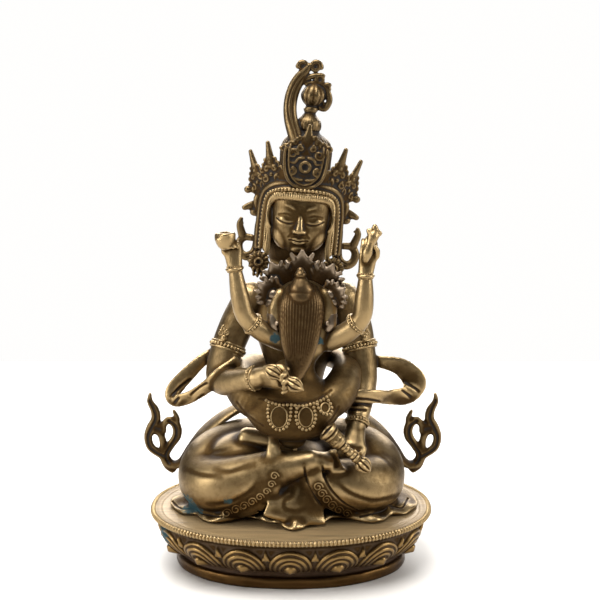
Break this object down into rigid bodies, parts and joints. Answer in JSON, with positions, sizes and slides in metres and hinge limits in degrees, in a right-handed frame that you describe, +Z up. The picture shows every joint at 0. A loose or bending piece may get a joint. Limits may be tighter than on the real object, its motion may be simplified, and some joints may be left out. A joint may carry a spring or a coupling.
{
  "type": "vajrasattva statue",
  "caption": "Cast brass statue of a crowned seated deity embraced by a consort on an oval lotus pedestal; stands by its own weight.",
  "frame": {"origin": "middle of the pedestal's flat underside, on the surface that the statue stands on", "axes": "+Z up, -Y the front, where the deity faces, +X to the viewer's right (the deity's left)"},
  "size_m": [0.128, 0.094, 0.2093],
  "materials": {
    "pedestal": "aged cast brass, brown in the recesses, rubbed on the rim and petals",
    "deity": "aged cast brass, olive gold on worn high places, dark brown in the recesses",
    "consort": "aged cast brass, browner and duller, grey brown on hair and crown"
  },
  "bodies": {
    "root": {"lotus_pedestal": "pedestal", "deity": "deity", "consort": "consort"}
  },
  "joints": []
}
